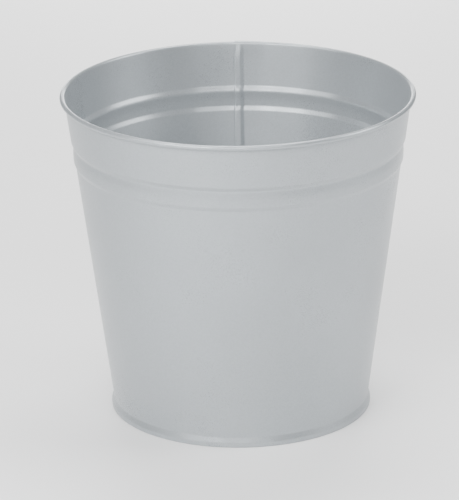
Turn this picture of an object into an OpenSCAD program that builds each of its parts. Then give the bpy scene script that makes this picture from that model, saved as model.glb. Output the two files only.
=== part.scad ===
// Florist bucket: a tapered sheet-steel bucket with a wired rim, a two-step swaged band,
// a folded lock seam down the back and a pressed base locked into a hemmed foot.
// Frame: origin on the ground at the centre of the foot, +Z up, lock seam centred on +Y.

/* [Overall] */
// Outer diameter over the curled rim
rim_d = 260; // [200:1:340]
// Height from the ground to the top of the rim
height = 241; // [160:1:320]
// Outer diameter over the foot
foot_d = 193; // [150:1:230]

/* [Sheet and wire] */
// Thickness of the body sheet
sheet_t = 0.5; // [0.4:0.05:0.8]
// Thickness of the base sheet
base_t = 0.5; // [0.4:0.05:0.8]
// Diameter of the wire inside the rim
wire_d = 2.5; // [2:0.1:5]
// Gap between the rim wire and the sheet curled around it
wire_clear = 0.1; // [0.05:0.05:0.3]
// Gap between the butted ends of the rim wire
wire_gap = 1; // [0.5:0.5:4]
// Angle that the sheet wraps around the wire
curl_wrap = 300; // [240:5:305]

/* [Band] */
// Depth of the plain collar, from the top of the rim to the first step
collar_h = 33.4; // [20:0.2:60]
// Height of each step
step_h = 3.2; // [3:0.1:6]
// Height of the band between the two steps
band_h = 12; // [8:0.5:30]
// How far the collar stands outside the line of the lower wall
collar_out = 0.7; // [0:0.1:3]
// How far the band's upper edge lies inside the line of the lower wall
band_in = 0.85; // [0:0.05:1.5]
// How far the band's lower edge stands outside the line of the lower wall
band_out = 1.1; // [0:0.1:1.5]
// How far the band bulges beyond the straight line between its edges
band_crown = 0.4; // [0.1:0.1:0.8]
// Bend radius of the steps, to the middle of the sheet
step_bend = 4; // [3:0.5:4]

/* [Foot and base] */
// Height of the foot, where its flare meets the wall
foot_h = 7.5; // [7:0.5:12]
// Height of the upright part of the foot
foot_band = 3.5; // [3:0.1:4]
// How far the foot stands outside the wall that meets it
foot_out = 1.5; // [1:0.1:3]
// Height of the hem folded up inside the foot
hem_h = 3.4; // [2.5:0.1:4]
// Radius of the foot's bottom edges, on the outside of the sheet
foot_round = 0.9; // [0.85:0.05:1]
// Height of the base's underside above the ground
base_rise = 6; // [5.5:0.1:6.5]
// Height of the base's own hook, from its fold
hook_h = 1.6; // [1.2:0.1:2.3]
// Radius of the bend at the edge of the base, on the outside of the sheet
base_bend = 2.5; // [2:0.1:3]
// Diameter of the raised panel in the middle of the base
panel_d = 140; // [60:1:150]
// Height of the raised panel
panel_h = 1.5; // [1:0.1:3]
// Height of the sealing compound under the base's fold
seal_h = 0.6; // [0.3:0.1:0.8]

/* [Lock seam] */
// Width of the seam at the rim's diameter
seam_w = 5.5; // [4:0.1:9]
// Gap between the folded layers of the side seam and of the foot
fold_clear = 0.1; // [0.05:0.01:0.15]
// Width of the sealing compound in the side seam
seam_seal_w = 0.6; // [0.4:0.1:1]
// Depth below the rim at which the seam's hooks stop
seam_top_gap = 7.5; // [6:0.5:12]
// Distance from the foot's flare to the lower end of the seam's hooks
seam_foot_gap = 1; // [0.5:0.5:5]

/* [Hidden] */

$fn = 96;
paint = [0.71, 0.73, 0.74];

// Rim: the sheet's middle line wraps the wire at curl_r about rim_centre
curl_r = wire_d / 2 + wire_clear + sheet_t / 2;
rim_centre = [rim_d / 2 - curl_r - sheet_t / 2, height - curl_r - sheet_t / 2];

// Layers of the lock seam, and of the lap in the rim, step inwards by one pitch
pitch = sheet_t + fold_clear;
lap_wrap = curl_wrap - 45;

// Foot: from the outside, body sheet, base hook, base flange and body hem
foot_mid_r = foot_d / 2 - sheet_t / 2;
foot_w = 2 * sheet_t + 2 * base_t + 3 * fold_clear;
hem_mid_r = foot_d / 2 - foot_w + sheet_t / 2;
hook_mid_r = foot_d / 2 - sheet_t - fold_clear - base_t / 2;
flange_mid_r = hook_mid_r - base_t - fold_clear;
fold_low = sheet_t + seal_h + base_t / 2;
fold_bend = base_t / 2 + fold_clear / 4;
panel_slope = 4 * panel_h;
flare_bend = 3;
panel_bend = 5;

// Lower wall: a straight line from the foot that, moved out by collar_out, touches the curl
wall_foot = [foot_mid_r - foot_out, foot_h];
to_rim = rim_centre - wall_foot - [collar_out, 0];
taper = atan2(to_rim[0], to_rim[1]) - asin(curl_r / norm(to_rim));
curl_start = rim_centre + curl_r * [-cos(taper), sin(taper)];
function wall_r(z) = wall_foot[0] + (z - foot_h) * tan(taper);
function collar_r(z) = wall_r(z) + collar_out;

// Heights of the band's edges
collar_low = height - collar_h;
band_high = collar_low - step_h;
band_low = band_high - band_h;
wall_high = band_low - step_h;
band_high_r = wall_r(band_high) - band_in;
band_low_r = wall_r(band_low) + band_out;

// Ends of the seam's hooks
seam_low = foot_h + seam_foot_gap;
seam_high = height - seam_top_gap;

// Seam angles, counted from +X; left and right are as seen from inside the bucket.
// They are whole hundredths of a degree, so that neighbouring stretches share their faces.
function arc_deg(w) = round(w / (rim_d / 2) * 180 / PI * 100) / 100;
fold_deg = arc_deg(sheet_t);
clear_deg = arc_deg(fold_clear);
seam_left = 90 + arc_deg(seam_w / 2);
seam_right = 90 - arc_deg(seam_w / 2);
hook_b = seam_right + fold_deg + clear_deg;
seal_start = hook_b + fold_deg;
seal_end = seal_start + arc_deg(seam_seal_w);

// ---- Outlines: a corner is [r, z, bend radius] and an outline is a list of [r, z] ----
function dir(a, b) = (b - a) / norm(b - a);
function left(d) = [-d[1], d[0]];
function xy(p) = [p[0], p[1]];
function turn(d, a) = [d[0] * cos(a) - d[1] * sin(a), d[0] * sin(a) + d[1] * cos(a)];

// The arc that rounds corner b between a and c
function bend(a, b, c, r, steps) =
    let (d1 = dir(a, b), d2 = dir(b, c),
         ang = atan2(d1[0] * d2[1] - d1[1] * d2[0], d1 * d2),
         side = sign(ang),
         start = b - d1 * r * tan(abs(ang) / 2),
         centre = start + side * r * left(d1))
    [for (i = [0 : steps]) centre - side * r * left(turn(d1, ang * i / steps))];

// The outline without points that repeat the one before
function distinct(p) = [
    for (i = [0 : len(p) - 1])
        if (i == 0 || norm(p[i] - p[i - 1]) > 0.001) p[i]
];

// Rounds the corners of an open outline
function rounded(c, steps = 5) = distinct([
    for (i = [0 : len(c) - 1])
        each (i == 0 || i == len(c) - 1 || c[i][2] == 0)
            ? [xy(c[i])]
            : bend(xy(c[i - 1]), xy(c[i]), xy(c[i + 1]), c[i][2], steps)
]);

// The arc of the rim curl, clockwise from where the collar touches it
function curl(r, wrap, steps = 24) = [
    for (i = [1 : steps])
        let (a = 180 - taper - wrap * i / steps)
        rim_centre + r * [cos(a), sin(a)]
];

// The outline moved to its left by d, with mitred corners
function moved(p, d) = [
    for (i = [0 : len(p) - 1])
        let (before = i == 0 ? dir(p[0], p[1]) : dir(p[i - 1], p[i]),
             after = i == len(p) - 1 ? before : dir(p[i], p[i + 1]),
             n = left(before + after))
        p[i] + n * 2 * d / (n * n)
];

function reversed(p) = [for (i = [len(p) - 1 : -1 : 0]) p[i]];

// A strip of sheet that reaches from d_out to d_in on the left of the outline
module strip(p, d_out, d_in) {
    polygon(concat(moved(p, d_out), reversed(moved(p, d_in))));
}

// A full or part turn of a strip, from one angle to another
module turned(from, to) {
    rotate_extrude(angle = to - from, start = from) children();
}

// ---- Middle lines of the sheets ----
// The band and its two steps, from the lower wall up to the collar
band_corners = [
    [wall_r(wall_high), wall_high, step_bend],
    [band_low_r, band_low, step_bend],
    [(band_low_r + band_high_r) / 2 + band_crown, (band_low + band_high) / 2, 10 * step_bend],
    [band_high_r, band_high, step_bend],
    [collar_r(collar_low), collar_low, step_bend]
];

// Foot: hem, flat bottom, upright part and flare
foot_corners = [
    [hem_mid_r, hem_h, 0],
    [hem_mid_r, sheet_t / 2, foot_round - sheet_t / 2],
    [foot_mid_r, sheet_t / 2, foot_round - sheet_t / 2],
    [foot_mid_r, foot_band, flare_bend],
    [wall_foot[0], foot_h, flare_bend]
];

body_line = concat(
    rounded(concat(foot_corners, band_corners, [[curl_start[0], curl_start[1], 0]])),
    curl(curl_r, curl_wrap)
);

// The stretch that carries the folded seam
seam_line = rounded(concat(
    [[wall_r(seam_low), seam_low, 0]],
    band_corners,
    [[collar_r(seam_high), seam_high, 0]]
));

// The stretch above the hooks, where the right end of the sheet laps over the left one
lap_line = concat(
    [[collar_r(seam_high), seam_high], curl_start],
    curl(curl_r, lap_wrap)
);

base_line = rounded([
    [0, base_rise + panel_h + base_t / 2, 0],
    [panel_d / 2 - panel_slope, base_rise + panel_h + base_t / 2, panel_bend],
    [panel_d / 2, base_rise + base_t / 2, panel_bend],
    [flange_mid_r, base_rise + base_t / 2, base_bend - base_t / 2],
    [flange_mid_r, fold_low, fold_bend],
    [hook_mid_r, fold_low, fold_bend],
    [hook_mid_r, fold_low + hook_h, 0]
]);

// ---- Pieces ----
// A piece of the seam: layers 0 (the wall) to 3 (the innermost), between two angles
module seam_layers(line, outer, inner, from, to) {
    turned(from, to)
        strip(line, outer * pitch - sheet_t / 2, inner * pitch + sheet_t / 2);
}

module body_sheet() {
    color(paint) {
        // the wall, from the left end of the sheet round to the right end
        turned(hook_b, seam_right + 360) strip(body_line, -sheet_t / 2, sheet_t / 2);
        // left end: folded inwards, then back to the left
        seam_layers(seam_line, 0, 2, hook_b, hook_b + fold_deg);
        seam_layers(seam_line, 2, 2, hook_b + fold_deg, seam_left - fold_deg - clear_deg);
        // right end: set in over the left one, then folded outwards and back to the right
        seam_layers(seam_line, 0, 3, seam_right, seam_right + fold_deg);
        seam_layers(seam_line, 3, 3, seam_right + fold_deg, seam_left - fold_deg);
        seam_layers(seam_line, 1, 3, seam_left - fold_deg, seam_left);
        seam_layers(seam_line, 1, 1, seal_end, seam_left - fold_deg);
        // lap in the rim
        seam_layers(lap_line, 0, 1, seam_right, seam_right + fold_deg);
        seam_layers(lap_line, 1, 1, seam_right + fold_deg, seam_left);
    }
}

module rim_wire() {
    half_gap = arc_deg(wire_gap / 2);
    color("silver")
        turned(-90 + half_gap, 270 - half_gap)
            translate(rim_centre) circle(d = wire_d);
}

module base_pan() {
    color(paint * 0.96) rotate_extrude() strip(base_line, -base_t / 2, base_t / 2);
}

module base_seal() {
    inner = hem_mid_r + sheet_t / 2;
    outer = foot_mid_r - sheet_t / 2;
    round = foot_round - sheet_t + fold_clear;
    color("dimgray")
        rotate_extrude()
            polygon(rounded([
                [inner, sheet_t + seal_h, 0],
                [inner, sheet_t, round],
                [outer, sheet_t, round],
                [outer, sheet_t + seal_h, 0]
            ]));
}

module side_seam_seal() {
    color("dimgray") seam_layers(seam_line, 1, 1, seal_start, seal_end);
}

body_sheet();
rim_wire();
base_pan();
base_seal();
side_seam_seal();
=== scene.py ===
"""Florist bucket: the looks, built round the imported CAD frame.

The body is one sheet, drawn as it is made: a grid whose columns go round the bucket, from one end
of the sheet to the other through the folds of the lock seam, and whose rows run from the hem under
the foot, up the wall and its two steps, and round the wire in the rim. Sizes are in metres.
"""
import math

import bpy
import numpy as np
from mathutils import Matrix, Vector


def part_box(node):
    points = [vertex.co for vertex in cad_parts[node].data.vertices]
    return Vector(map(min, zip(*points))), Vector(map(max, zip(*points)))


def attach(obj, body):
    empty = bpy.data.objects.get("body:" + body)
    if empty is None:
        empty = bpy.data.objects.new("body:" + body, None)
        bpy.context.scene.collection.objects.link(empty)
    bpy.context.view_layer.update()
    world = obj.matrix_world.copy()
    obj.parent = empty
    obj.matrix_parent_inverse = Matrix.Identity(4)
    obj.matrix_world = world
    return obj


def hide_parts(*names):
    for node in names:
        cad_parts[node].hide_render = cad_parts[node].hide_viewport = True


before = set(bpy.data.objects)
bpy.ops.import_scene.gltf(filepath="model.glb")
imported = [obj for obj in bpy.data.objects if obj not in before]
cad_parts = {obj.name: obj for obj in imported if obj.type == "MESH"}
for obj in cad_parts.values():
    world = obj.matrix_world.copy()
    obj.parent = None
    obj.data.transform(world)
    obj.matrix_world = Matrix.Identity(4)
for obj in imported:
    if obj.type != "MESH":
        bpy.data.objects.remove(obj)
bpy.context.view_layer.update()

MM = 0.001
GAP = 0.1 * MM                          # between neighbouring pieces, as in the CAD

# ---- Sizes taken from the frame -------------------------------------------------------------
wire_low, wire_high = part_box("rim_wire")
seal_low, seal_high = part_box("base_seal")
pan_low, pan_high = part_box("base_pan")
seam_low, seam_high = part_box("side_seam_seal")

SHEET = seal_low.z                      # the seal lies on the sheet of the hem
WIRE_R = (wire_high.z - wire_low.z) / 2
RIM_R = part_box("body_sheet")[1].x
CURL_R = WIRE_R + GAP + SHEET / 2       # to the middle of the sheet
CURL_RING = RIM_R - CURL_R - SHEET / 2  # from the bucket's axis to the wire's middle
CURL_Z = (wire_high.z + wire_low.z) / 2
RIM_TOP = CURL_Z + CURL_R + SHEET / 2
FOOT_R = seal_high.x + SHEET
SEAM_LOW = seam_low.z
SEAM_HIGH = seam_high.z

# ---- Body sheet -----------------------------------------------------------------------------
FOLD_GAP = 0.05 * MM        # between the pressed layers of the seam
PITCH = SHEET + FOLD_GAP    # from the middle of one layer to that of the next
CURL_WRAP = 300.0           # how far the sheet goes round the wire, in degrees
LAP_WRAP = 255.0            # and how far the lap in the rim does
FOOT_WIDTH = 2.3 * MM       # over the foot's hem
FOOT_ROUND = 0.9 * MM       # outer radius of the hem's two edges
FOOT_BAND = 3.5 * MM        # top of the foot's upright outer face
FOOT_OUT = 1.5 * MM         # how far that stands out from the wall
FOOT_H = 7.5 * MM           # where the wall starts
HEM_H = 3.4 * MM            # where the hem ends inside the foot
FLARE_BEND = 3 * MM

COLLAR_H = 33.4 * MM        # from the rim's top to the upper step
STEP_H = 3.2 * MM           # of each step
BAND_H = 12 * MM            # between the steps
COLLAR_OUT = 0.7 * MM       # how far the collar's foot stands out from the wall's line
BAND_IN = 0.85 * MM         # how far the band's top lies inside that line
BAND_OUT = 1.1 * MM         # how far the band's foot stands out from it
BAND_CROWN = 0.4 * MM       # how far the band's middle is crowned
STEP_BEND = 4 * MM
CROWN_BEND = 10 * STEP_BEND

ROUND_STEPS = 8             # mesh steps in each bend
CURL_STEPS = 36             # mesh steps round the wire
ROW_LENGTH = 4.5 * MM       # longest mesh row on the straight walls
COLUMNS = 400               # mesh columns round the wall
SAME_POINT = 1e-7           # points of an outline that are closer than this are one
TINY = 1e-12                # keeps a division from failing where the grid has no area
SHARP_ANGLE = math.radians(40)

# Lock seam, seen from inside with +Y at the back: x runs to the right along the wall
SEAM_W = 6.2 * MM
FOLD_A = -SEAM_W / 2 + PITCH + SHEET / 2   # centre of the fold that shows
FOLD_B = 0.9 * MM                          # centre of the fold beneath
JOGGLE = 1.2 * MM                          # where the upper layer starts down to the wall
SEAM_RIGHT = 4.7 * MM                      # where it reaches the wall
SEAM_LEFT = -4.5 * MM                      # where the mesh of the lower layer starts
TIP_A = 0.5 * MM                           # ends of the two hidden hooks
TIP_B = -1.9 * MM
TOP_LEVEL = 3                              # level of the layer that shows, with the wall's at 0
RISE_LOW = FOOT_H - 0.6 * MM               # where the seam starts to rise from the wall
LAP_RISE = 3 * MM                          # height in which the seam turns into the rim's lap
LAP_RUN = 24 * MM                          # where the lap in the rim has run out
LAP_EDGE = 0.5 * MM                        # end of the joggle that goes all the way round the wire
NOTCH_W = 0.8 * MM                         # cut off the seam's upper left corner
NOTCH_H = 2.4 * MM
NOTCH_WRAP = 40                            # degrees round the wire in which the notch closes
COMPOUND_X = (0.6 * MM, 1.05 * MM)         # between the hook's end and the fold that holds it

# mesh columns in each stretch of the seam
FOLD_STEPS = 8
HOOK_COLUMNS = 5
LEG_A_COLUMNS = 8
LEG_B_COLUMNS = 12
JOGGLE_COLUMNS = 10
COMPOUND_COLUMNS = 4

# puckers where a step crosses the seam: place, width, and depth inwards above the step
PUCKERS = (
    (-2.2 * MM, 0.9 * MM, 0.5 * MM),
    (0.2 * MM, 1.2 * MM, -0.3 * MM),
    (3.2 * MM, 1.2 * MM, 0.5 * MM),
)
PUCKER_SLANT = 0.2          # how much higher a pucker lies, for its place to the right
PUCKER_H = 2.4 * MM
PUCKER_WAVE = 1.9 * MM      # length of its wave up the wall, over 2 pi

# the slight unevenness of rolled sheet: a sum of waves round the bucket and up the wall
RIPPLE = 0.09 * MM
RIPPLE_SEED = 11
RIPPLE_WAVES = 14
RIPPLE_LOBES = (2, 11)      # waves round the bucket: from the first number to below the second
RIPPLE_LENGTH = (0.07, 0.3)
RIPPLE_STRENGTH = (0.3, 1)
RIPPLE_TURN = 6.28          # one wave, in radians
RIPPLE_FULL = 0.05          # height above which the unevenness is full
RIPPLE_END = (0.03, 0.008)  # distances below the rim's top between which it dies out

# ---- Base -----------------------------------------------------------------------------------
BASE_SHEET = 0.5 * MM
BASE_BEND = 2.5 * MM
BASE_HOOK_H = 1.6 * MM
PANEL_R = 70 * MM           # raised middle of the base
PANEL_H = 1.5 * MM
PANEL_SLOPE = 6 * MM
PANEL_BEND = 5 * MM
BASE_COLUMNS = 240
BASE_ROW_LENGTH = 3 * ROW_LENGTH


# ---- Outlines -------------------------------------------------------------------------------
def direction(a, b):
    d = np.subtract(b, a)
    return d / np.linalg.norm(d)


def left_of(d):
    return np.array([-d[1], d[0]])


def turned(d, angle):
    c, s = math.cos(angle), math.sin(angle)
    return np.array([d[0] * c - d[1] * s, d[0] * s + d[1] * c])


def bend(a, b, c, radius):
    """The arc that rounds corner b of the outline a, b, c."""
    d1, d2 = direction(a, b), direction(b, c)
    angle = math.atan2(d1[0] * d2[1] - d1[1] * d2[0], float(d1 @ d2))
    side = math.copysign(1, angle)
    start = np.array(b) - d1 * radius * math.tan(abs(angle) / 2)
    centre = start + side * radius * left_of(d1)
    turns = [angle * i / ROUND_STEPS for i in range(ROUND_STEPS + 1)]
    return [centre - side * radius * left_of(turned(d1, turn)) for turn in turns]


def rounded(corners):
    """An outline of (r, z, bend radius) corners as a list of (r, z) points."""
    points = []
    for i, (r, z, radius) in enumerate(corners):
        if radius:
            points += bend(corners[i - 1][:2], (r, z), corners[i + 1][:2], radius)
        else:
            points.append(np.array([r, z]))
    gaps = [np.linalg.norm(b - a) for a, b in zip(points, points[1:])]
    return points[:1] + [p for p, gap in zip(points[1:], gaps) if gap > SAME_POINT]


def divided(points, longest):
    """The outline with its long straights divided."""
    made = [points[0]]
    for a, b in zip(points, points[1:]):
        n = max(1, math.ceil(np.linalg.norm(b - a) / longest))
        made += [a + (b - a) * (k + 1) / n for k in range(n)]
    return made


def normals_of(points):
    """The left-hand normal at each point of an outline."""
    d = np.diff(np.array(points), axis=0)
    d /= np.linalg.norm(d, axis=1)[:, None]
    t = np.vstack([d[:1], d[:-1] + d[1:], d[-1:]])
    t /= np.linalg.norm(t, axis=1)[:, None]
    return np.stack([-t[:, 1], t[:, 0]], 1)


def body_line():
    """The middle line of the body sheet, from the hem to the end of the curl.

    With it come how far round the wire each point lies, in degrees, and the heights of the steps.
    """
    foot_mid = FOOT_R - SHEET / 2
    hem_mid = FOOT_R - FOOT_WIDTH + SHEET / 2
    wall_foot = np.array([foot_mid - FOOT_OUT, FOOT_H])
    rim = np.array([CURL_RING, CURL_Z])
    run = rim - wall_foot - (COLLAR_OUT, 0)
    taper = math.atan2(run[0], run[1]) - math.asin(CURL_R / np.linalg.norm(run))

    def wall(z):
        return wall_foot[0] + (z - FOOT_H) * math.tan(taper)

    collar_low = RIM_TOP - COLLAR_H
    band_high = collar_low - STEP_H
    band_low = band_high - BAND_H
    wall_high = band_low - STEP_H
    high_r = wall(band_high) - BAND_IN
    low_r = wall(band_low) + BAND_OUT
    touch = rim + CURL_R * np.array([-math.cos(taper), math.sin(taper)])
    edge_bend = FOOT_ROUND - SHEET / 2
    line = divided(rounded([
        (hem_mid, HEM_H, 0),
        (hem_mid, SHEET / 2, edge_bend),
        (foot_mid, SHEET / 2, edge_bend),
        (foot_mid, FOOT_BAND, FLARE_BEND),
        (wall_foot[0], FOOT_H, FLARE_BEND),
        (wall(wall_high), wall_high, STEP_BEND),
        (low_r, band_low, STEP_BEND),
        ((low_r + high_r) / 2 + BAND_CROWN, (band_low + band_high) / 2, CROWN_BEND),
        (high_r, band_high, STEP_BEND),
        (wall(collar_low) + COLLAR_OUT, collar_low, STEP_BEND),
        (touch[0], touch[1], 0),
    ]), ROW_LENGTH)
    wraps = [math.radians(CURL_WRAP) * (i + 1) / CURL_STEPS for i in range(CURL_STEPS)]
    turns = [math.pi - taper - w for w in wraps]
    curl = [rim + CURL_R * np.array([math.cos(turn), math.sin(turn)]) for turn in turns]
    wrap = np.array([0.0] * len(line) + [math.degrees(w) for w in wraps])
    return np.array(line + curl), wrap, (band_high + STEP_H / 2, band_low - STEP_H / 2)


def smooth(x, low, high):
    """0 below low, 1 above high, and smooth between."""
    t = np.clip((x - low) / (high - low), 0, 1)
    return t * t * (3 - 2 * t)


# ---- The sheet as a grid --------------------------------------------------------------------
def seam_columns():
    """The sheet's columns, from one hook's end to the other's, as (x, level, part).

    A level counts layers inwards from the wall. None stands for the columns round the wall.
    """
    half_turn = np.linspace(0, math.pi, FOLD_STEPS + 1)
    columns = [(x, 1, "hook_a") for x in np.linspace(TIP_A, FOLD_A, HOOK_COLUMNS)]
    columns += [(FOLD_A - PITCH * math.sin(a), 2 - math.cos(a), "hook_a") for a in half_turn[1:-1]]
    columns += [(x, TOP_LEVEL, "leg_a") for x in np.linspace(FOLD_A, JOGGLE, LEG_A_COLUMNS)]
    for k in np.linspace(0, 1, JOGGLE_COLUMNS + 1)[1:]:
        x = JOGGLE + (SEAM_RIGHT - JOGGLE) * k
        columns.append((x, TOP_LEVEL * (1 - smooth(k, 0, 1)), "joggle"))
    columns.append(None)
    columns += [(x, 0, "leg_b") for x in np.linspace(SEAM_LEFT, FOLD_B, LEG_B_COLUMNS)]
    columns += [(FOLD_B + PITCH * math.sin(a), 1 - math.cos(a), "hook_b") for a in half_turn[1:]]
    columns += [(x, 2, "hook_b") for x in np.linspace(FOLD_B, TIP_B, HOOK_COLUMNS + 1)[1:]]
    return columns


def seam_place(x, part, z, wrap):
    """Where each row of a seam column lies across the seam."""
    if part in ("leg_a", "hook_a"):
        cut = np.clip((z - SEAM_HIGH + NOTCH_H) / NOTCH_H, 0, 1)
        notch = NOTCH_W * cut * (1 - smooth(wrap, 0, NOTCH_WRAP))
        return x + notch * (JOGGLE - x) / (JOGGLE - FOLD_A)
    if part == "leg_b":  # below the seam the sheet's two ends meet edge to edge
        closed = (JOGGLE - FOLD_B - FOLD_GAP) * smooth(x, SEAM_LEFT, FOLD_B)
        return x + np.where(z < SEAM_LOW, closed, 0)
    return np.full(len(z), x)


def seam_level(x, level, part, z, in_rim):
    """The level of each row of a seam column. Towards the rim, the upper end becomes a lap."""
    if part in ("leg_b", "hook_b"):
        return np.full(len(z), float(level))
    risen = smooth(z, RISE_LOW, SEAM_LOW)
    lap = 1 - smooth(x, JOGGLE, LAP_RUN)
    return level * risen * (1 - in_rim) + lap * in_rim


def seam_exists(x, part, z, wrap):
    """Which rows of a seam column exist. The hooks are cut away in the foot and the rim."""
    if part in ("hook_a", "hook_b"):
        return (wrap == 0) & (z > SEAM_LOW) & (z < SEAM_HIGH)
    if part == "leg_a":
        return (z > SEAM_LOW) & (wrap < LAP_WRAP)
    if part == "joggle":
        return (wrap < LAP_WRAP) | (x > SEAM_RIGHT - LAP_EDGE)
    return np.ones(len(z), bool)


def wall_columns(r, in_rim):
    """The columns round the wall, each as the angle and level of its rows, which all exist."""
    sweep = 2 * math.pi - (SEAM_RIGHT - SEAM_LEFT) / r
    for k in np.linspace(0, 1, COLUMNS)[1:-1]:
        lap = 1 - smooth(SEAM_RIGHT + k * sweep * r, JOGGLE, LAP_RUN)
        yield math.pi / 2 - SEAM_RIGHT / r - k * sweep, in_rim * lap, np.ones(len(r), bool)


def ripple(angle, z):
    """The unevenness of the sheet, as a radial shift. It dies out at the foot and the rim."""
    rng = np.random.default_rng(RIPPLE_SEED)
    total = np.zeros(np.broadcast(angle, z).shape)
    for _ in range(RIPPLE_WAVES):
        lobes = rng.integers(*RIPPLE_LOBES)
        length = rng.uniform(*RIPPLE_LENGTH)
        strength = rng.uniform(*RIPPLE_STRENGTH) / lobes
        around = np.sin(lobes * angle + rng.uniform(0, RIPPLE_TURN))
        total += strength * around * np.cos(RIPPLE_TURN * z / length + rng.uniform(0, RIPPLE_TURN))
    fading = smooth(z, RIM_TOP - RIPPLE_END[0], RIM_TOP - RIPPLE_END[1])
    room = smooth(z, FOOT_H, RIPPLE_FULL) * (1 - fading)
    return RIPPLE * total * room


def pucker(along, height, place, width, depth):
    """A pucker where a swaged step crosses the thick seam: inwards above the step, outwards below."""
    rise = height - place * PUCKER_SLANT
    near = np.exp(-((along - place) / width) ** 2 - (rise / PUCKER_H) ** 2)
    return depth * near * np.sin(rise / PUCKER_WAVE)


def sheet_grid():
    """Positions of the body sheet's middle surface, [row, column], and which of its faces exist."""
    line, wrap, steps = body_line()
    normal = normals_of(line)
    r, z = line[:, 0], line[:, 1]
    in_rim = smooth(z, SEAM_HIGH, SEAM_HIGH + LAP_RISE)
    columns = []
    for column in seam_columns():
        if column is None:
            columns += wall_columns(r, in_rim)
        else:
            x, level, part = column
            angle = math.pi / 2 - seam_place(x, part, z, wrap) / r
            levels = seam_level(x, level, part, z, in_rim)
            columns.append((angle, levels, seam_exists(x, part, z, wrap)))
    angle, level, exists = (np.stack(rows, 1) for rows in zip(*columns))
    radius = r[:, None] + normal[:, :1] * level * PITCH + ripple(angle, z[:, None])
    height = z[:, None] + normal[:, 1:] * level * PITCH
    across = (math.pi / 2 - angle + math.pi) % (2 * math.pi) - math.pi
    for step in steps:
        for place, width, depth in PUCKERS:
            radius -= pucker(across * r[:, None], z[:, None] - step, place, width, depth)
    grid = np.stack([radius * np.cos(angle), radius * np.sin(angle), height], -1)
    faces = exists[:-1, :-1] & exists[1:, :-1] & exists[:-1, 1:] & exists[1:, 1:]
    return grid, faces


# ---- Meshes ---------------------------------------------------------------------------------
def grid_normals(grid):
    normal = np.cross(np.gradient(grid, axis=1), np.gradient(grid, axis=0))
    return normal / np.maximum(np.linalg.norm(normal, axis=2), TINY)[..., None]


def add_mesh(name, vertices, faces):
    mesh = bpy.data.meshes.new(name)
    mesh.from_pydata([tuple(v) for v in vertices], [], [tuple(int(i) for i in f) for f in faces])
    mesh.validate()
    mesh.update()
    made = bpy.data.objects.new(name, mesh)
    bpy.context.scene.collection.objects.link(made)
    mesh.shade_smooth()
    mesh.set_sharp_from_angle(angle=SHARP_ANGLE)
    return made


def solid_from_grid(name, grid, exists, thickness):
    """A closed sheet of the given thickness about a grid, its edges closed by narrow faces."""
    normal = grid_normals(grid)
    rows, columns = grid.shape[:2]
    count = rows * columns
    number = np.arange(count).reshape(rows, columns)
    front = (grid + normal * thickness / 2).reshape(-1, 3)
    back = (grid - normal * thickness / 2).reshape(-1, 3)
    a, b = number[:-1, :-1][exists], number[:-1, 1:][exists]
    c, d = number[1:, 1:][exists], number[1:, :-1][exists]
    front_faces = np.stack([a, b, c, d], 1)
    edges = np.concatenate([np.stack(e, 1) for e in ((a, b), (b, c), (c, d), (d, a))]).tolist()
    known = {(i, j) for i, j in edges}
    rim = np.array([(i, j) for i, j in edges if (j, i) not in known])
    rim_faces = np.stack([rim[:, 1], rim[:, 0], rim[:, 0] + count, rim[:, 1] + count], 1)
    faces = np.concatenate([front_faces, front_faces[:, ::-1] + count, rim_faces])
    used = np.unique(faces)
    renumber = np.full(2 * count, -1)
    renumber[used] = np.arange(len(used))
    return add_mesh(name, np.concatenate([front, back])[used], renumber[faces])


def lathe(name, outline, columns):
    """A closed outline of (r, z) points, whose first and last point lie on the axis, turned about it."""
    ring = outline[1:-1]
    angles = np.arange(columns) * 2 * math.pi / columns
    around = np.stack([np.cos(angles), np.sin(angles)], 1)
    vertices = [(r * x, r * y, z) for r, z in ring for x, y in around]
    number = np.arange(len(vertices)).reshape(len(ring), columns)
    first, last = len(vertices), len(vertices) + 1
    vertices += [(0, 0, outline[0][1]), (0, 0, outline[-1][1])]
    faces = []
    for k in range(columns):
        n = (k + 1) % columns
        faces.append((first, number[0, k], number[0, n]))
        faces.append((last, number[-1, n], number[-1, k]))
        for row, after in zip(number, number[1:]):
            faces.append((row[k], after[k], after[n], row[n]))
    return add_mesh(name, vertices, faces)


# ---- Materials ------------------------------------------------------------------------------
PAINT_COLOUR = (0.36, 0.388, 0.408)
PAINT_METALLIC = 0.42
PAINT_ROUGHNESS = 0.31
PAINT_GRAIN = 0.75          # the sheet's rolling marks still show through the coat, up the wall
GRAIN_TURN = 0.25           # of a turn, which spreads a highlight up the wall
BASE_SHADE = 0.96           # the base's coat, as a part of the body's
BASE_ROUGHNESS = 0.46
FLECK_SIZE = 0.8 * MM       # metallic fleck in the coat
FLECK_TINT = 0.05
CLOUD_SIZE = 45 * MM        # faint clouds in its colour
CLOUD_TINT = 0.15           # as a part of the fleck's whole range
HAZE_SIZE = 60 * MM         # and in its gloss
HAZE_DETAIL = 3.0
FINE_SIZE = 0.5 * MM        # fine variation of its gloss
GLOSS_SPREAD = 0.03
PEEL_SIZE = 1.6 * MM        # orange peel
PEEL_FINE_SIZE = 0.4 * MM
PEEL_FINE_PART = 0.25
PEEL_DEPTH = 0.02 * MM

STEEL_COLOUR = (0.6, 0.6, 0.6)
STEEL_DARK = (0.5, 0.5, 0.5)
STEEL_LIGHT = (0.68, 0.68, 0.67)
STEEL_ROUGHNESS = 0.3
STEEL_GLOSS = (0.22, 0.4)
MARK_SIZE = 0.2 * MM
MARK_STRETCH = (1, 1, 4)
MARK_DEPTH = 0.01 * MM

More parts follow.
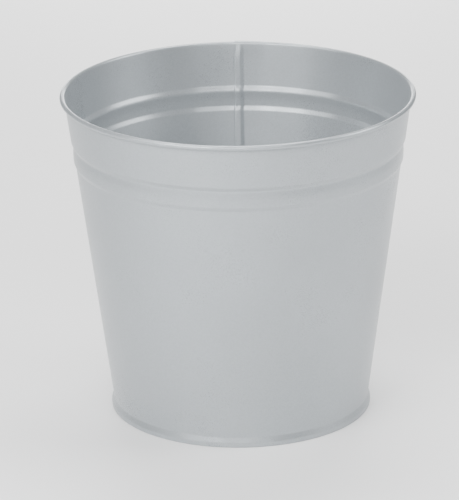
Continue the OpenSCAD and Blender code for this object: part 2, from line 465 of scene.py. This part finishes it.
COMPOUND_COLOUR = (0.05, 0.05, 0.055)
COMPOUND_DARK = (0.035, 0.035, 0.038)
COMPOUND_LIGHT = (0.08, 0.08, 0.085)
COMPOUND_ROUGHNESS = 0.6
COMPOUND_GLOSS = (0.5, 0.75)
LUMP_SIZE = 0.8 * MM
LUMP_DEPTH = 0.05 * MM

NOISE_DETAIL = 2.0
NOISE_RANGE = (0.3, 0.7)    # where most of a noise's values lie


class Shading:
    """A material under construction: nodes that read the object's own coordinates, in metres."""

    def __init__(self, name, colour, metallic, roughness, grain=0.0):
        self.material = bpy.data.materials.new(name)
        self.material.use_nodes = True
        self.tree = self.material.node_tree
        self.shader = self.tree.nodes["Principled BSDF"]
        self.shader.inputs["Base Color"].default_value = (*colour, 1)
        self.shader.inputs["Metallic"].default_value = metallic
        self.shader.inputs["Roughness"].default_value = roughness
        self.shader.inputs["Anisotropic"].default_value = grain
        self.shader.inputs["Anisotropic Rotation"].default_value = GRAIN_TURN
        self.place = self.tree.nodes.new("ShaderNodeTexCoord").outputs["Object"]

    def link(self, a, b):
        self.tree.links.new(a, b)

    def noise(self, size, detail=NOISE_DETAIL, stretch=(1, 1, 1)):
        """Noise whose features are about size metres across, from 0 to 1."""
        mapping = self.tree.nodes.new("ShaderNodeMapping")
        mapping.inputs["Scale"].default_value = stretch
        self.link(self.place, mapping.inputs["Vector"])
        noise = self.tree.nodes.new("ShaderNodeTexNoise")
        noise.inputs["Scale"].default_value = 1 / size
        noise.inputs["Detail"].default_value = detail
        self.link(mapping.outputs["Vector"], noise.inputs["Vector"])
        return noise.outputs["Fac"]

    def flecks(self, size):
        """A random value in each cell of about size metres, from 0 to 1."""
        cells = self.tree.nodes.new("ShaderNodeTexVoronoi")
        cells.inputs["Scale"].default_value = 1 / size
        self.link(self.place, cells.inputs["Vector"])
        split = self.tree.nodes.new("ShaderNodeSeparateColor")
        self.link(cells.outputs["Color"], split.inputs["Color"])
        return split.outputs["Red"]

    def ranged(self, value, low, high, start=0.0, end=1.0):
        """value, remapped from start..end to low..high."""
        node = self.tree.nodes.new("ShaderNodeMapRange")
        for key, number in (("From Min", start), ("From Max", end), ("To Min", low), ("To Max", high)):
            node.inputs[key].default_value = number
        self.link(value, node.inputs["Value"])
        return node.outputs["Result"]

    def spread(self, noise, middle, amount):
        """A noise, remapped so that most of it lies within amount of middle."""
        return self.ranged(noise, middle - amount, middle + amount, *NOISE_RANGE)

    def added(self, a, b):
        node = self.tree.nodes.new("ShaderNodeMath")
        node.operation = "ADD"
        self.link(a, node.inputs[0])
        self.link(b, node.inputs[1])
        return node.outputs["Value"]

    def tinted(self, value, dark, light):
        """A colour between dark, where value is 0, and light, where it is 1."""
        ramp = self.tree.nodes.new("ShaderNodeValToRGB")
        ramp.color_ramp.elements[0].color = (*dark, 1)
        ramp.color_ramp.elements[1].color = (*light, 1)
        self.link(value, ramp.inputs["Fac"])
        self.link(ramp.outputs["Color"], self.shader.inputs["Base Color"])

    def rough(self, value):
        self.link(value, self.shader.inputs["Roughness"])

    def bumped(self, height, depth):
        """Bump of the given depth, in metres."""
        bump = self.tree.nodes.new("ShaderNodeBump")
        bump.inputs["Distance"].default_value = depth
        self.link(height, bump.inputs["Height"])
        self.link(bump.outputs["Normal"], self.shader.inputs["Normal"])


def shade(colour, factor):
    return tuple(c * factor for c in colour)


def painted_metal(name, colour, roughness, grain):
    """Satin silver-grey coat: fine bright and dark flecks, a slight orange peel and faint clouding."""
    paint = Shading(name, colour, PAINT_METALLIC, roughness, grain)
    clouds = paint.spread(paint.noise(CLOUD_SIZE), 0, CLOUD_TINT)
    mixed = paint.added(paint.flecks(FLECK_SIZE), clouds)
    paint.tinted(mixed, shade(colour, 1 - FLECK_TINT), shade(colour, 1 + FLECK_TINT))
    haze = paint.spread(paint.noise(HAZE_SIZE, HAZE_DETAIL), 0, GLOSS_SPREAD)
    fine = paint.spread(paint.noise(FINE_SIZE), roughness, GLOSS_SPREAD)
    paint.rough(paint.added(haze, fine))
    fine_peel = paint.ranged(paint.noise(PEEL_FINE_SIZE), 0, PEEL_FINE_PART)
    paint.bumped(paint.added(paint.noise(PEEL_SIZE), fine_peel), PEEL_DEPTH)
    return paint.material


def drawn_steel(name):
    """Bright wire, with fine marks drawn out along the ring."""
    steel = Shading(name, STEEL_COLOUR, 1.0, STEEL_ROUGHNESS)
    marks = steel.noise(MARK_SIZE, stretch=MARK_STRETCH)
    steel.tinted(marks, STEEL_DARK, STEEL_LIGHT)
    steel.rough(steel.ranged(marks, *STEEL_GLOSS))
    steel.bumped(marks, MARK_DEPTH)
    return steel.material


def sealing_compound(name):
    """Cured dark compound, matt and a little lumpy."""
    compound = Shading(name, COMPOUND_COLOUR, 0.0, COMPOUND_ROUGHNESS)
    lumps = compound.noise(LUMP_SIZE)
    compound.tinted(lumps, COMPOUND_DARK, COMPOUND_LIGHT)
    compound.rough(compound.ranged(lumps, *COMPOUND_GLOSS))
    compound.bumped(lumps, LUMP_DEPTH)
    return compound.material


body_paint = painted_metal("body_paint", PAINT_COLOUR, PAINT_ROUGHNESS, PAINT_GRAIN)
base_paint = painted_metal("base_paint", shade(PAINT_COLOUR, BASE_SHADE), BASE_ROUGHNESS, 0.0)
wire_steel = drawn_steel("wire_steel")
seam_compound = sealing_compound("seam_compound")


# ---- Pieces ---------------------------------------------------------------------------------
def finish_piece(piece, material, node):
    piece.data.materials.append(material)
    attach(piece, "root")
    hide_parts(node)


def make_body():
    grid, exists = sheet_grid()
    body = solid_from_grid("bucket_body", grid, exists, SHEET)
    finish_piece(body, body_paint, "body_sheet")


def make_base():
    """The pressed base: raised panel, flat ring, and the flange folded up into the foot's hem."""
    hook_mid = FOOT_R - SHEET - GAP - BASE_SHEET / 2
    flange_mid = hook_mid - BASE_SHEET - GAP
    panel_z = pan_high.z - BASE_SHEET / 2
    flat_z = panel_z - PANEL_H
    fold_z = pan_low.z + BASE_SHEET / 2
    fold_bend = BASE_SHEET / 2 + GAP / 4  # a little less than half of the way between the layers
    line = divided(rounded([
        (0, panel_z, 0),
        (PANEL_R - PANEL_SLOPE, panel_z, PANEL_BEND),
        (PANEL_R, flat_z, PANEL_BEND),
        (flange_mid, flat_z, BASE_BEND - BASE_SHEET / 2),
        (flange_mid, fold_z, fold_bend),
        (hook_mid, fold_z, fold_bend),
        (hook_mid, fold_z + BASE_HOOK_H, 0),
    ]), BASE_ROW_LENGTH)
    normal = normals_of(line)
    top = np.array(line) + normal * BASE_SHEET / 2
    under = np.array(line) - normal * BASE_SHEET / 2
    base = lathe("bucket_base", [*top, *under[::-1]], BASE_COLUMNS)
    finish_piece(base, base_paint, "base_pan")


def make_compound():
    """The compound in the lock seam, between the end of the inner hook and the fold around it."""
    line, wrap, _ = body_line()
    normal = normals_of(line)
    rows = (wrap == 0) & (line[:, 1] > SEAM_LOW) & (line[:, 1] < SEAM_HIGH)
    line, normal = line[rows], normal[rows]
    x = np.linspace(*COMPOUND_X, COMPOUND_COLUMNS)
    angle = math.pi / 2 - x / line[:, :1]
    first_layer = line + normal * PITCH
    radius, height = (np.broadcast_to(part, angle.shape) for part in np.hsplit(first_layer, 2))
    grid = np.stack([radius * np.cos(angle), radius * np.sin(angle), height], -1)
    exists = np.ones((len(line) - 1, len(x) - 1), bool)
    strip = solid_from_grid("seam_compound_strip", grid, exists, SHEET)
    finish_piece(strip, seam_compound, "side_seam_seal")


def dress(node, material):
    """Gives a CAD node's own object a material."""
    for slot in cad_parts[node].material_slots:
        slot.material = material


make_body()
make_base()
make_compound()
dress("rim_wire", wire_steel)
dress("base_seal", seam_compound)

# ---- Floor, light and camera ----------------------------------------------------------------
FLOOR_HALF = 30
FLOOR_COLOUR = (0.9, 0.9, 0.9, 1)
FLOOR_ROUGHNESS = 0.6
WORLD_COLOUR = (1, 1, 1, 1)
WORLD_STRENGTH = 0.06

# a broken ring of softboxes: azimuth and power of each
RING = ((-60, 9), (-35, 21), (-10, 13), (15, 9), (90, 18))
RING_ELEVATION = 35
RING_DISTANCE = 1.6
RING_SIZE = (0.8, 0.8)

# two more behind the bucket: name, azimuth, elevation, distance, size, power
OTHERS = (
    ("back", 180, 10, 1.4, (0.9, 0.5), 9),
    ("top", 180, 68, 1.8, (1.2, 0.6), 36),
)

CAMERA_SENSOR = 36          # mm
CAMERA_LENS = 286
CAMERA_CLIP = (0.1, 100)
CAMERA_DISTANCE = 2.938
CAMERA_ELEVATION = math.radians(19.53)
CAMERA_TURN = math.radians(0.31)
CAMERA_ROLL = math.radians(-0.68)
AIM = Vector((-7.4 * MM, 0, 118.5 * MM))


def make_floor():
    mesh = bpy.data.meshes.new("floor")
    corners = [(x * FLOOR_HALF, y * FLOOR_HALF, 0) for x, y in ((-1, -1), (1, -1), (1, 1), (-1, 1))]
    mesh.from_pydata(corners, [], [(0, 1, 2, 3)])
    floor = bpy.data.objects.new("floor", mesh)
    bpy.context.scene.collection.objects.link(floor)
    material = bpy.data.materials.new("pale_floor")
    material.use_nodes = True
    shader = material.node_tree.nodes["Principled BSDF"]
    shader.inputs["Base Color"].default_value = FLOOR_COLOUR
    shader.inputs["Roughness"].default_value = FLOOR_ROUGHNESS
    mesh.materials.append(material)


def add_softbox(name, azimuth, elevation, distance, size, power):
    """A soft light aimed at the bucket. Azimuth is to the right of the camera's side, in degrees."""
    lamp = bpy.data.lights.new(name, "AREA")
    lamp.shape = "RECTANGLE"
    lamp.size, lamp.size_y = size
    lamp.energy = power
    light = bpy.data.objects.new(name, lamp)
    a, e = math.radians(azimuth), math.radians(elevation)
    away = Vector((math.sin(a) * math.cos(e), -math.cos(a) * math.cos(e), math.sin(e)))
    light.location = Vector((0, 0, RIM_TOP / 2)) + away * distance
    light.rotation_euler = away.to_track_quat("Z", "Y").to_euler()
    bpy.context.scene.collection.objects.link(light)


def make_world():
    world = bpy.data.worlds.new("studio")
    bpy.context.scene.world = world
    world.use_nodes = True
    background = world.node_tree.nodes["Background"]
    background.inputs["Color"].default_value = WORLD_COLOUR
    background.inputs["Strength"].default_value = WORLD_STRENGTH


def make_camera():
    data = bpy.data.cameras.new("camera")
    data.sensor_width = CAMERA_SENSOR
    data.lens = CAMERA_LENS
    data.clip_start, data.clip_end = CAMERA_CLIP
    camera = bpy.data.objects.new("camera", data)
    c, s = math.cos(CAMERA_ELEVATION), math.sin(CAMERA_ELEVATION)
    back = Vector((0, -c, s))
    right, up = Vector((1, 0, 0)), Vector((0, s, c))
    rolled_right = right * math.cos(CAMERA_ROLL) + up * math.sin(CAMERA_ROLL)
    rolled_up = up * math.cos(CAMERA_ROLL) - right * math.sin(CAMERA_ROLL)
    place = AIM + back * CAMERA_DISTANCE
    axes = Matrix((rolled_right, rolled_up, back)).transposed().to_4x4()
    camera.matrix_world = Matrix.Rotation(CAMERA_TURN, 4, "Z") @ Matrix.Translation(place) @ axes
    bpy.context.scene.collection.objects.link(camera)
    bpy.context.scene.camera = camera


make_floor()
make_world()
for azimuth, power in RING:
    name = "ring_%d" % (azimuth % 360)
    add_softbox(name, azimuth, RING_ELEVATION, RING_DISTANCE, RING_SIZE, power)
for name, azimuth, elevation, distance, size, power in OTHERS:
    add_softbox(name, azimuth, elevation, distance, size, power)
make_camera()
